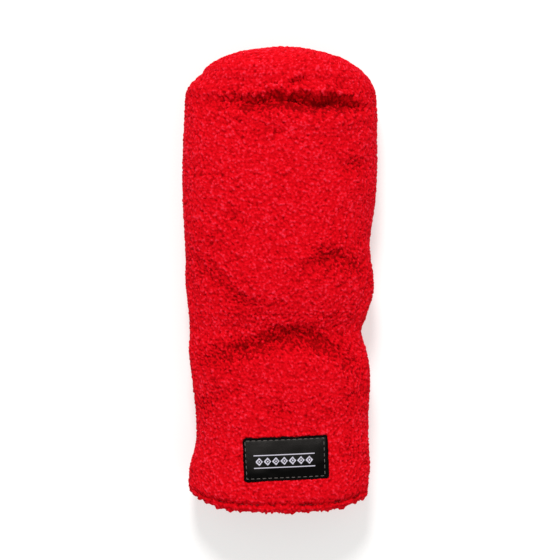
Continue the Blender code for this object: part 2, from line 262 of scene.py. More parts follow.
# Paths run left to right. Each point: x, y, depth, width below the line, width above it.
FRONT_CREASES = [
    # across the crown: the stuffed end rolls over it
    ([(-57, 121, 0.2, 4, 3), (-46, 122, 1.2, 4, 3), (-33, 121.5, 3.0, 5, 3.2), (-20, 119.5, 4.6, 5.5, 3.4),
      (-10, 121.5, 6.2, 7.5, 3.8), (2, 122.5, 7.2, 8.0, 3.8), (14, 120.5, 7.6, 8.0, 4.2), (24, 120.0, 8.8, 8.0, 4.6),
      (34, 120.5, 8.8, 8.0, 4.4), (44, 120.0, 6.8, 7.0, 3.8), (52, 118.5, 4.4, 6, 3.2), (62, 116.5, 1.0, 4, 3)], 0.22),
    # a fold that runs into it from the crown seam
    ([(0, 127.5, 0.4, 2.5, 2.2), (7, 131.0, 2.6, 2.8, 2.4), (15, 135.0, 1.6, 2.5, 2.2), (22, 137.5, 0.2, 2.5, 2.2)], 0.3),
    ([(-44, 113.5, 0.2, 3, 2.4), (-37, 115.5, 1.6, 3, 2.4), (-30, 115.5, 1.6, 3, 2.4), (-22, 117.0, 0.6, 3, 2.4)], 0.2),
    # left diagonal towards the neck
    ([(-62, 13.0, 0.6, 5, 5), (-54, 9.0, 1.8, 6, 5), (-45, 3.0, 1.6, 6, 5), (-36, -5.5, 1.2, 6, 5),
      (-28, -12.5, 2.4, 6, 5), (-19, -18.0, 1.4, 6, 5), (-10, -23.0, 0.3, 6, 5)], 0.15),
    # the neck, an arch that the elastic draws in
    ([(-58, -55, 0.6, 5, 5), (-51, -52, 1.8, 6, 5), (-42, -50, 3.0, 6.5, 5.2), (-31, -47.5, 3.6, 6.5, 5.2),
      (-20, -44.5, 4.4, 7, 5.0), (-9, -41.0, 5.2, 7.5, 5.2), (2, -38.0, 5.8, 8, 5.2), (12, -37.0, 5.8, 8.5, 5.4),
      (23, -39.0, 5.0, 8.5, 5.4), (33, -43.5, 4.0, 8, 5.4), (43, -50.0, 2.8, 7, 5), (52, -57.5, 1.6, 6, 5),
      (58, -65, 0.4, 6, 5)], 0.12),
    # right arch above the neck
    ([(12, 3, 0.4, 6, 5), (20, 8, 1.6, 6.5, 5), (29, 13.5, 2.6, 7, 5.5), (39, 16.0, 3.2, 7, 5.5),
      (48, 11.5, 2.8, 7, 5.5), (55, 6, 1.6, 6, 5), (60, -1, 0.5, 5, 5)], 0.15),
    # small dents
    ([(40, 79, 0.2, 5, 5), (50, 77.5, 2.0, 5, 5), (58, 74, 0.4, 5, 5)], 0.1),
    ([(-42, 43.5, 0.2, 5, 5), (-32, 42.5, 1.6, 5.5, 5), (-22, 44, 0.3, 5, 5)], 0.1),
    # the skirt
    ([(-60, -88, 0.8, 5, 4), (-52, -84, 1.6, 5, 4), (-40, -77, 1.3, 5, 4), (-28, -74, 0.3, 5, 4)], 0.12),
    ([(-14, -85, 0.2, 5, 4), (0, -87, 1.3, 6, 5), (16, -85, 0.3, 5, 4)], 0.1),
    ([(38, -83, 0.3, 5, 4), (50, -80, 1.6, 5, 4), (59, -77, 0.8, 5, 4)], 0.12),
    ([(50, -98, 0.2, 4, 4), (49, -112, 1.5, 4, 4), (53, -126, 0.4, 4, 4)], 0.1),
]  # fmt: skip
BACK_CREASES = [
    ([(-58, -44, 0.8, 6, 5), (-40, -38, 2.2, 6, 5), (-15, -34, 2.6, 7, 5), (10, -35, 2.6, 7, 5), (35, -40, 2.2, 6, 5),
      (55, -47, 0.8, 6, 5)], 0.1),
    ([(-55, 4, 0.4, 5, 5), (-38, -4, 1.6, 6, 5), (-22, -12, 0.6, 5, 5)], 0.1),
    ([(20, 0, 0.4, 5, 5), (38, 6, 1.6, 6, 5), (55, 2, 0.4, 5, 5)], 0.1),
    ([(-50, 124, 0.6, 5, 4), (-20, 121, 1.8, 5, 4), (15, 122, 2.0, 5, 4), (50, 125, 0.6, 5, 4)], 0.15),
]  # fmt: skip


SETTLED = None  # filled by the cloth simulation: depth over (w rows, u columns)
SETTLE_W = np.concatenate([np.arange(-158.0, CROWN_SEAM + 0.01, 6.0), CROWN_SEAM + 0.45 * np.array([18, 36, 54, 72.0])])
SETTLE_COLS = 72


def settled(u, w):
    """Depth found by the cloth simulation, read between the cage's points."""
    if SETTLED is None:
        return np.zeros(np.shape(u))
    f = np.mod(np.asarray(u, float), ROUND) / ROUND * SETTLE_COLS
    i = np.floor(f).astype(int) % SETTLE_COLS
    fu = f - np.floor(f)
    fu = fu * fu * (3 - 2 * fu)
    w = np.clip(w, SETTLE_W[0], SETTLE_W[-1])
    j = np.clip(np.searchsorted(SETTLE_W, w, side="right") - 1, 0, len(SETTLE_W) - 2)
    fw = (w - SETTLE_W[j]) / (SETTLE_W[j + 1] - SETTLE_W[j])
    fw = fw * fw * (3 - 2 * fw)
    nxt = (i + 1) % SETTLE_COLS
    return (SETTLED[j, i] * (1 - fu) + SETTLED[j, nxt] * fu) * (1 - fw) + (
        SETTLED[j + 1, i] * (1 - fu) + SETTLED[j + 1, nxt] * fu
    ) * fw


def macro(points, u, w, cavity_only=False):
    """Depth (mm, inwards positive) of creases and soft unevenness at surface points."""
    x, y, z = points[..., 0], points[..., 1], points[..., 2]
    depth = np.zeros(x.shape)
    up = np.clip((z - Z_SEAM) / 9.0, 0, 1)
    up = up * up * (3 - 2 * up)
    down = np.clip((Z_SEAM - z) / 9.0, 0, 1)
    down = down * down * (3 - 2 * down)
    xr = x + 1.1 * lattice_noise(x / 5.5, y / 5.0, 55) + 0.5 * lattice_noise(x / 2.4, y / 2.2, 56)
    yr = y + 1.3 * lattice_noise(x / 5.0, y / 5.5, 57) + 0.6 * lattice_noise(x / 2.3, y / 2.3, 58)
    for path, shape in FRONT_CREASES:
        depth += crease(xr, yr, path, shape) * up
    for path, shape in BACK_CREASES:
        depth += crease(xr, yr, path, shape) * down
    if cavity_only:
        return depth
    ways = np.where(z < Z_SEAM, 61.3, 0.0)
    wob = 0.8 * lattice_noise(x / 19 + ways, y / 16, 5) + 0.42 * lattice_noise(x / 8.5 + ways, y / 7.5, 6)
    side = 0.45 * lattice_noise(np.sign(x) * 3.3, y / 11, 8)
    weight = np.maximum(up, down)
    return depth + (wob + settled(u, w)) * weight + side * (1 - weight)


def bunching(points):
    """How much the pile is bunched into separate beads, 0 to 1: strongest in and beside the creases."""
    x, y, z = points[..., 0], points[..., 1], points[..., 2]
    xr = x + 3.0 * lattice_noise(x / 9.0, y / 7.0, 65)
    yr = y + 2.6 * lattice_noise(x / 8.0, y / 8.0, 66)
    out = 0.55 * np.clip(lattice_noise(x / 15 + np.where(z < Z_SEAM, 40.0, 0.0), y / 8, 67) - 0.25, 0, 1)
    for group, side in ((FRONT_CREASES, z > Z_SEAM), (BACK_CREASES, z <= Z_SEAM)):
        for path, _ in group:
            wide = [(px, py, min(d / 3.6, 1.0), 3.0 + 1.3 * low, 3.5 + 1.5 * high) for px, py, d, low, high in path]
            out = np.maximum(out, crease(xr, yr, wide, 0.0) * side)
    return np.clip(out, 0, 1)


# ------------------------------------------------------------------------------------------------ meshes


def make_mesh(name, verts, faces, smooth=True, attributes=None):
    """verts in millimetres. faces: a list of arrays of shape (n, 3) or (n, 4)."""
    mesh = bpy.data.meshes.new(name)
    verts = np.asarray(verts, float) * MM
    mesh.vertices.add(len(verts))
    mesh.vertices.foreach_set("co", verts.astype(np.float32).ravel())
    faces = [np.asarray(f, np.int32) for f in faces if len(f)]
    loops = np.concatenate([f.ravel() for f in faces])
    sizes = np.concatenate([np.full(len(f), f.shape[1], np.int32) for f in faces])
    starts = np.concatenate([[0], np.cumsum(sizes)[:-1]]).astype(np.int32)
    mesh.loops.add(len(loops))
    mesh.loops.foreach_set("vertex_index", loops)
    mesh.polygons.add(len(sizes))
    mesh.polygons.foreach_set("loop_start", starts)
    if smooth:
        mesh.polygons.foreach_set("use_smooth", np.ones(len(sizes), bool))
    mesh.update(calc_edges=True)
    mesh.validate()
    for key, values in (attributes or {}).items():
        layer = mesh.attributes.new(key, "FLOAT", "POINT")
        layer.data.foreach_set("value", np.asarray(values, np.float32).ravel())
    obj = bpy.data.objects.new(name, mesh)
    bpy.context.scene.collection.objects.link(obj)
    return obj


def grid_faces(rows, cols, offset=0, flip=False):
    """Quads of a rows x cols grid of vertices stored row by row."""
    i, j = np.meshgrid(np.arange(rows - 1), np.arange(cols - 1), indexing="ij")
    a = (i * cols + j).ravel() + offset
    quads = np.stack([a, a + 1, a + cols + 1, a + cols], 1)
    return quads[:, ::-1] if flip else quads


def grid_normals(points):
    """Normals of a grid of points (rows, cols, 3), by central differences."""
    dr, dc = np.gradient(points, axis=0), np.gradient(points, axis=1)
    n = np.cross(dr, dc)
    return n / np.maximum(np.linalg.norm(n, axis=-1, keepdims=True), 1e-9)


def zip_strip(a, b, flip=False, at_a=None, at_b=None):
    """Triangles that join two rows of vertex indices of different lengths, level with each other at at_a and at_b."""
    a, b = list(a), list(b)
    at_a = np.linspace(0, 1, len(a)) if at_a is None else at_a
    at_b = np.linspace(0, 1, len(b)) if at_b is None else at_b
    tris, i, j = [], 0, 0
    while i < len(a) - 1 or j < len(b) - 1:
        if j == len(b) - 1 or (i < len(a) - 1 and at_a[i + 1] <= at_b[j + 1]):
            tris.append((a[i], a[i + 1], b[j]))
            i += 1
        else:
            tris.append((a[i], b[j + 1], b[j]))
            j += 1
    tris = np.array(tris, np.int32)
    return tris[:, ::-1] if flip else tris


SPACING = 0.765
HEM_T = 8.0
HEM_TURN = -152.8  # where the hem starts to turn inwards
PILE_SINK = 0.9  # the cloth under the pile lies this far inside the sleeve's surface

LABEL_W, LABEL_H = 57.5, 29.5
LABEL_X, LABEL_Y = 4.0, -120.0
LABEL_TURN = math.radians(2.5)


def label_coords(x, y):
    """Coordinates on the label, millimetres right of and above its middle."""
    dx, dy = x - LABEL_X, y - LABEL_Y
    c, k = math.cos(LABEL_TURN), math.sin(LABEL_TURN)
    return dx * c + dy * k, -dx * k + dy * c


def rounded_box(p, q, half_w, half_h, radius):
    """Signed distance to a rounded rectangle, negative inside."""
    ax, ay = np.abs(p) - half_w + radius, np.abs(q) - half_h + radius
    return np.hypot(np.maximum(ax, 0), np.maximum(ay, 0)) + np.minimum(np.maximum(ax, ay), 0) - radius


def fluff(s_grid, t_grid, seed):
    """Pile height and tone at cloth coordinates that wander a little, so that no row of curls runs straight."""
    s_w = s_grid + 0.8 * lattice_noise(s_grid / 9, t_grid / 9, seed + 1)
    t_w = t_grid + 0.8 * lattice_noise(s_grid / 8, t_grid / 8, seed + 2)
    pile, tone = curls(s_w, t_w, seed)
    ground = 0.62 + 0.25 * lattice_noise(s_grid / 1.7, t_grid / 1.7, seed + 4)
    pile = np.maximum(pile, ground)
    pile = pile + 0.13 * lattice_noise(s_grid / 0.9, t_grid / 0.9, seed + 3)
    return pile, tone


def press_flat(z):
    """The underside is pressed flat by the surface that the cover lies on."""
    return np.where(z < 0.6, 0.6 * np.exp((np.minimum(z, 0.6) - 0.6) / 0.6), z)


def panel(name, u0, u1, seed, edge_z):
    """An outer panel: pile side, the turned hem and its facing, and the backing inside, as one closed form."""
    front = edge_z > Z_SEAM
    girth = 165.0
    cols = int(round(girth / SPACING)) + 1
    us = np.linspace(u0, u1, cols)
    s = (us - (u0 + u1) / 2) / abs(u1 - u0) * girth
    # profile rows: y and inset, from the crown seam down to the mouth, round the hem and up inside it
    top = CROWN_SEAM - 0.05
    rows = [(y, 0.0) for y in np.arange(top, HEM_TURN, -SPACING)]
    turns = np.linspace(0, math.pi, int(math.pi * HEM_T / 2 / SPACING) + 1)
    rows += [(HEM_TURN - HEM_T / 2 * math.sin(a), HEM_T / 2 - HEM_T / 2 * math.cos(a)) for a in turns[1:]]
    rows += [(y, HEM_T) for y in np.arange(HEM_TURN + 0.9, -141.4, 0.9)]
    rows = np.array(rows)
    n_fine = len(rows)
    u_grid, y_grid = np.meshgrid(us, rows[:, 0], indexing="xy")
    d_grid = np.broadcast_to(rows[:, 1][:, None], u_grid.shape)
    skin = surface(u_grid, y_grid)
    n = normal_of(u_grid, y_grid)
    deep = macro(skin, u_grid, y_grid)
    drop = PILE_SINK + d_grid * (1 - 2 * PILE_SINK / HEM_T) + deep * (1 - 0.6 * d_grid / HEM_T)
    base = skin - n * drop[..., None]
    out = grid_normals(base)
    if (out[: n_fine // 2] * n[: n_fine // 2]).sum() < 0:
        out = -out
    along = np.concatenate([[0], np.cumsum(np.hypot(*(np.diff(rows, axis=0).T)))])
    s_grid = np.broadcast_to(s[None, :], u_grid.shape)
    t_grid = np.broadcast_to(along[:, None], u_grid.shape)
    pile, tone = fluff(s_grid, t_grid, seed)
    bunch = bunching(skin)
    pile = pile + 0.75 * bunch * (pile - 1.32)
    # seams pull the pile in; the hem's stitching sinks a groove round the mouth
    edge = np.minimum(s_grid - s.min(), s.max() - s_grid)
    seam = 0.7 * np.exp(-((edge / 1.4) ** 2))
    crown = 0.5 * np.exp(-((t_grid / 0.9) ** 2)) - 0.7 * np.exp(-(((t_grid - 2.2) / 2.4) ** 2))
    stitch_y = -151.6
    uneven = 0.75 + 0.45 * lattice_noise(s_grid / 6.5, 0.3, seed + 21)
    groove = 2.5 * uneven * np.exp(-(((y_grid - stitch_y) / 1.7) ** 2)) * (d_grid < 0.01)
    groove = groove * np.clip((edge - 4.0) / 14.0, 0.15, 1)
    groove = groove + 0.4 * np.clip((stitch_y - y_grid) / 3.5, 0, 1) * (d_grid < 2.5)
    groove = groove + 1.2 * np.exp(-(((y_grid - stitch_y) / 1.5) ** 2)) * (d_grid > HEM_T - 0.01)
    height = pile - 0.45 - seam - groove - crown
    if front:  # the label presses the pile down and the pile bulges round it
        p, q = label_coords(skin[..., 0], skin[..., 1])
        away = rounded_box(p, q, LABEL_W / 2 - 0.6, LABEL_H / 2 - 0.6, 1.5)
        under = 1 / (1 + np.exp(np.clip(away / 0.45, -30, 30)))
        on_front = (d_grid < 0.01) * 1.0
        height = height * (1 - 0.75 * under * on_front) - 1.1 * under * on_front
        height = height + 0.35 * np.exp(-(((away - 1.6) / 1.2) ** 2)) * on_front
    # tufts hang from the mouth's edge
    lip = np.exp(-(((t_grid - t_grid[np.argmin(rows[:, 0])]) / 3.4) ** 2))
    tufts = np.maximum(lattice_noise(s_grid / 2.6, t_grid / 3.4, seed + 9) - 0.05, 0)
    longer = 0.6 + 0.6 * np.maximum(lattice_noise(s_grid / 9.0, 0.7, seed + 10), 0)
    longer = longer + 0.9 * np.exp(-(((s_grid + 8.0) / 1.8) ** 2))
    height = height + lip * (4.4 * longer * tufts - 0.7)
    move = out * height[..., None]
    near_side = np.exp(-((edge / 2.2) ** 2))
    near_crown = np.exp(-((t_grid / 2.2) ** 2))
    move[..., 2] *= 1 - near_side
    move[..., 1] *= 1 - near_crown
    final = base + move
    meet = (np.exp(-((t_grid / 1.3) ** 2)) * (t_grid < 12))[..., None]
    final = final * (1 - meet) + seam_ring(u_grid) * meet
    if front:
        final[..., 2] = np.maximum(final[..., 2], edge_z)
    else:
        final[..., 2] = np.minimum(final[..., 2], edge_z)
        final[..., 2] = press_flat(final[..., 2])
    final[..., 1] = np.minimum(final[..., 1], CROWN_SEAM - 0.02)
    # backing: a coarse inner surface that closes the form
    inner_y = np.concatenate([[-139.6], np.arange(-132, 136, 12.0), [CROWN_SEAM - 0.05]])
    ug, yg = np.meshgrid(us, inner_y, indexing="xy")
    inner_skin = surface(ug, yg)
    inner = inner_skin - normal_of(ug, yg) * (5.2 + 0.9 * macro(inner_skin, ug, yg))[..., None]
    inner[..., 2] = np.maximum(inner[..., 2], Z_SEAM + 0.6) if front else np.minimum(inner[..., 2], Z_SEAM - 0.6)
    inner[..., 1] = np.minimum(inner[..., 1], CROWN_SEAM - 0.6)
    verts = np.concatenate([final.reshape(-1, 3), inner.reshape(-1, 3)])
    total_rows = n_fine + len(inner_y)
    faces = [grid_faces(total_rows, cols, 0)]
    last = (total_rows - 1) * cols
    k = np.arange(cols - 1)
    faces.append(np.stack([last + k, last + k + 1, k + 1, k], 1))
    side_rows = np.arange(total_rows) * cols
    level = -np.concatenate([rows[:, 0], inner_y])
    half = int(np.argmax(level))
    for c, flip in ((0, False), (cols - 1, True)):
        a = side_rows[: half + 1] + c
        b = (side_rows[half:] + c)[::-1]
        faces.append(zip_strip(a, b, flip, level[: half + 1], level[half:][::-1]))
    # painted shade: the colour attribute darkens along the creases, in the hem's groove, in the bunched pile and along
    # the side seams, and follows the pile's height, darker in its gaps and lighter on its tops
    painted_crease_shade = macro(skin, u_grid, y_grid, True) * 0.10 + 0.30 * groove + 0.35 * bunch
    shade = np.concatenate([(pile - 0.3 * seam - np.clip(painted_crease_shade, -0.1, 1.6)).ravel(), np.zeros(inner.shape[0] * cols)])
    tones = np.concatenate([tone.ravel(), np.full(inner.shape[0] * cols, 0.3)])
    return make_mesh(name, verts, faces, True, {"pile": shade, "tone": tones})


CENTRE_X = 0.6


def dome_grid(half_cols, half_rows, start):
    """Ring positions and w on a square grid spread over the end of the sleeve, from the ring at w = start inwards."""
    cols, rows = 2 * half_cols + 1, 2 * half_rows + 1
    p, q = np.meshgrid(np.linspace(-1, 1, cols), np.linspace(-1, 1, rows), indexing="xy")
    share = np.clip(1 - np.maximum(np.abs(p), np.abs(q)), 0, 1)
    ring_u = np.arange(0, 36, 0.05)
    ring = surface(ring_u, np.full(len(ring_u), CROWN_SEAM))
    ring_angle = np.unwrap(np.arctan2(ring[:, 2] - Z_SEAM, ring[:, 0] - CENTRE_X))
    if ring_angle[-1] < ring_angle[0]:
        ring_angle, ring_u = ring_angle[::-1], ring_u[::-1]
    turn_all = np.concatenate([ring_angle - 2 * math.pi, ring_angle, ring_angle + 2 * math.pi])
    step = 36.0 if ring_u[-1] > ring_u[0] else -36.0
    u_all = np.concatenate([ring_u - step, ring_u, ring_u + step])
    angle = np.arctan2(q * 25.0, p * 57.0)
    u = np.interp(angle.ravel(), turn_all, u_all).reshape(angle.shape)
    body = max(CROWN_SEAM - start, 0.0)
    lead = body / (body + 45.0)
    over = np.clip((share - lead) / (1 - lead), 0, 1)
    turn = 90 * (np.sqrt(1 + 1.56 * over) - 1) / 0.6
    w = np.where(share < lead, start + share / max(lead, 1e-6) * body, CROWN_SEAM + 0.45 * np.minimum(turn, 89.9))
    skin = surface(u, w)
    skin[share > 1 - 1e-6] = (CENTRE_X, HALF_LENGTH, Z_SEAM)
    n = grid_normals(skin)
    if n[rows // 2, cols // 2, 1] < 0:
        n = -n
    return p, q, share, u, w, skin, n


def seam_ring(u):
    """Where the pile of the sleeve and of the crown meet: a soft ridge that the seam allowance lifts."""
    w = np.full(np.shape(u), CROWN_SEAM - 0.02)
    skin, n = surface(u, w), normal_of(u, w)
    ridge = 0.85 + 0.35 * np.clip(skin[..., 0] / 40, -0.4, 1) + 0.25 * lattice_noise(np.asarray(u) * 2.2, 0.5, 91)
    n = n * np.array([1.0, 0.0, 1.0])
    return skin + n * (ridge - PILE_SINK - macro(skin, u, w))[..., None]


def crown_panel(name, seed):
    """The domed end piece."""
    p, q, share, u, w, skin, n = dome_grid(78, 46, CROWN_SEAM)
    rows, cols = p.shape
    skin[..., 1] = np.maximum(skin[..., 1], CROWN_SEAM + 0.05)
    deep = macro(skin, u, w)
    s_grid, t_grid = p * 60.0, q * 35.0
    pile, tone = fluff(s_grid, t_grid, seed)
    bunch = bunching(skin)
    pile = pile + 0.6 * bunch * (pile - 1.32)
    edge = share * (26 + 12 * np.abs(p))
    seam = 0.5 * np.exp(-((edge / 0.9) ** 2)) - 0.5 * np.exp(-(((edge - 2.2) / 2.4) ** 2))
    move = n * (pile - 0.45 - seam - PILE_SINK - deep)[..., None]
    move[..., 1] *= 1 - np.exp(-((edge / 2.2) ** 2))
    final = skin + move
    meet = np.exp(-((edge / 1.3) ** 2))[..., None]
    final = final * (1 - meet) + seam_ring(u) * meet
    final[..., 1] = np.maximum(final[..., 1], CROWN_SEAM + 0.02)
    final[..., 2] = press_flat(final[..., 2])
    inner = (skin - n * (PILE_SINK + 4.4 + deep[..., None]))[::2, ::2]
    inner[..., 1] = np.maximum(inner[..., 1], CROWN_SEAM + 0.6)
    ri, ci = inner.shape[:2]
    m = rows * cols
    verts = np.concatenate([final.reshape(-1, 3), inner.reshape(-1, 3)])
    faces = [grid_faces(rows, cols, 0, True), grid_faces(ri, ci, m, False)]

    def rim(rr, cc, off):
        idx = off + np.arange(rr * cc).reshape(rr, cc)
        return np.concatenate([idx[0, :], idx[1:, -1], idx[-1, -2::-1], idx[-2:0:-1, 0], idx[0, :1]])

    faces.append(zip_strip(rim(rows, cols, 0), rim(ri, ci, m), False))
    # painted highlight: the colour is lighter along the seam's ridge, and follows the pile's height, darker in its gaps
    # and lighter on its tops
    shade = np.concatenate([(pile + 0.3 * meet[..., 0]).ravel(), np.zeros(ri * ci)])
    tones = np.concatenate([tone.ravel(), np.full(ri * ci, 0.3)])
    return make_mesh(name, verts, faces, True, {"pile": shade, "tone": tones})


def inset_panel(name, u0, u1, y0, y1, depth, wall, cols, rows, edge_z=None, ripple=0.25, seed=3):
    """A thin closed panel inside the sleeve, between insets depth and depth + wall."""
    us, ys = np.linspace(u0, u1, cols), np.linspace(y0, y1, rows)
    ug, yg = np.meshgrid(us, ys, indexing="xy")
    skin, n = surface(ug, yg), normal_of(ug, yg)
    deep = macro(skin, ug, yg) * 0.85
    wob = ripple * lattice_noise(ug * 1.6, yg / 6.0, seed) + 0.5 * ripple * lattice_noise(ug * 4, yg / 2.5, seed + 1)
    near = np.minimum(np.abs(ug - u0), np.abs(ug - u1))
    if edge_z is not None:
        wob = wob + 0.5 * np.exp(-((near / 0.25) ** 2))
    sheets = []
    for d in (depth, depth + wall):
        sheet = skin - n * (d + deep + wob)[..., None]
        if edge_z is not None:
            sheet[..., 2] = np.maximum(sheet[..., 2], edge_z) if edge_z > Z_SEAM else np.minimum(sheet[..., 2], edge_z)
        sheets.append(sheet)
    return closed_pair(name, sheets[0], sheets[1])


def closed_pair(name, a, b, attributes=None):
    """Two grids of points of one size, joined round their border into a closed form."""
    rows, cols = a.shape[:2]
    m = rows * cols
    idx = np.arange(m).reshape(rows, cols)
    border = np.concatenate([idx[0, :], idx[1:, -1], idx[-1, -2::-1], idx[-2:0:-1, 0]])
    nxt = np.roll(border, -1)
    faces = [grid_faces(rows, cols, 0), grid_faces(rows, cols, m, True), np.stack([nxt, border, border + m, nxt + m], 1)]
    return make_mesh(name, np.concatenate([a.reshape(-1, 3), b.reshape(-1, 3)]), faces, True, attributes)


def inset_band(name, y0, y1, depth, wall, cols, rows, ripple=0.0):
    """A closed band round the sleeve, between insets depth and depth + wall."""
    us, ys = np.arange(cols) / cols * 36.0, np.linspace(y0, y1, rows)
    ug, yg = np.meshgrid(us, ys, indexing="xy")
    skin, n = surface(ug, yg), normal_of(ug, yg)
    deep = macro(skin, ug, yg) * 0.9
    wave = ripple * np.sin(ug * 2 * math.pi * 3) + 0.1 * np.sin(yg * 2 * math.pi / 1.6)
    a = skin - n * (depth + deep + wave)[..., None]
    b = skin - n * (depth + wall + deep + wave)[..., None]
    m = rows * cols
    idx = np.arange(m).reshape(rows, cols)
    right = np.roll(idx, -1, axis=1)
    quads = np.stack([idx[:-1], right[:-1], right[1:], idx[1:]], -1).reshape(-1, 4)
    faces = [quads, (quads + m)[:, ::-1]]
    for row, flip in ((0, True), (rows - 1, False)):
        strip = np.stack([idx[row], right[row], right[row] + m, idx[row] + m], 1)
        faces.append(strip[:, ::-1] if not flip else strip)
    return make_mesh(name, np.concatenate([a.reshape(-1, 3), b.reshape(-1, 3)]), faces, True)


def sweep(path, radii, sides, closed=False):
    """Vertices and faces of a round tube along path (n, 3)."""
    path = np.asarray(path, float)
    radii = np.broadcast_to(np.asarray(radii, float), (len(path),))
    if closed:
        tangent = np.roll(path, -1, axis=0) - np.roll(path, 1, axis=0)
    else:
        tangent = np.gradient(path, axis=0)
    tangent /= np.maximum(np.linalg.norm(tangent, axis=1, keepdims=True), 1e-9)
    frames = []
    side = np.cross(tangent[0], (0.0, 0.0, 1.0))
    if np.linalg.norm(side) < 1e-3:
        side = np.cross(tangent[0], (1.0, 0.0, 0.0))
    for t in tangent:
        side = side - t * (side @ t)
        side = side / max(np.linalg.norm(side), 1e-9)
        frames.append((side, np.cross(t, side)))
    frames = np.array(frames)
    turn = np.arange(sides) / sides * 2 * math.pi
    rings = (
        path[:, None, :]
        + radii[:, None, None] * (np.cos(turn)[None, :, None] * frames[:, None, 0] + np.sin(turn)[None, :, None] * frames[:, None, 1])
    )
    count = len(path)
    idx = np.arange(count * sides).reshape(count, sides)
    nxt = np.roll(idx, -1, axis=1)
    quads = [np.stack([idx[:-1], nxt[:-1], nxt[1:], idx[1:]], -1).reshape(-1, 4)]
    verts = rings.reshape(-1, 3)
    tris = []
    if closed:
        quads.append(np.stack([idx[-1], nxt[-1], nxt[0], idx[0]], -1).reshape(-1, 4))
    else:
        verts = np.concatenate([verts, path[:1], path[-1:]])
        first, last = count * sides, count * sides + 1
        tris.append(np.stack([nxt[0], idx[0], np.full(sides, first)], 1))
        tris.append(np.stack([idx[-1], nxt[-1], np.full(sides, last)], 1))
    return verts, np.concatenate(quads), np.concatenate(tris) if tris else np.zeros((0, 3), int)


def sweeps(name, runs, sides=8):
    """One mesh of several tubes. runs: (path, radii, closed)."""
    verts, quads, tris, count = [], [], [], 0
    for path, radii, closed in runs:
        v, q, t = sweep(path, radii, sides, closed)
        verts.append(v)
        quads.append(q + count)
        tris.append(t + count)
        count += len(v)
    return make_mesh(name, np.concatenate(verts), [np.concatenate(quads), np.concatenate(tris)], True)


def along_path(points, normals, closed=False):
    """A function that reads a path and its normals at a distance along it, and the path's length."""
    points, normals = np.asarray(points, float), np.asarray(normals, float)
    if closed:
        points, normals = np.concatenate([points, points[:1]]), np.concatenate([normals, normals[:1]])
    run = np.concatenate([[0], np.cumsum(np.linalg.norm(np.diff(points, axis=0), axis=1))])

    def at(d):
        p = np.stack([np.interp(d, run, points[:, k]) for k in range(3)], -1)
        m = np.stack([np.interp(d, run, normals[:, k]) for k in range(3)], -1)
        return p, m / np.maximum(np.linalg.norm(m, axis=-1, keepdims=True), 1e-9)

    return at, float(run[-1])


def stitches(name, paths, pitch, length, radius, rise, dive, sides=8, seed=1):
    """Rows of separate stitches along paths, each a thread that comes up, lies on the cloth and dives again."""
    rng = np.random.default_rng(seed)
    runs = []
    for points, normals, closed in paths:
        at, total = along_path(points, normals, closed)
        count = max(int(round(total / pitch)), 1)
        step = total / count
        for k in range(count):
            span = length * rng.uniform(0.93, 1.06)
            start = (k + 0.5) * step - span / 2 + rng.uniform(-0.08, 0.08)
            f = np.linspace(0, 1, 11)
            p, m = at(np.clip(start + f * span, 0, total))
            lift = rise * (1 - (2 * f - 1) ** 4) - dive * (np.abs(2 * f - 1) ** 5)
            slim = radius * (1 - 0.35 * np.abs(2 * f - 1) ** 4)
            runs.append((p + m * lift[:, None], slim, False))
    return sweeps(name, runs, sides)


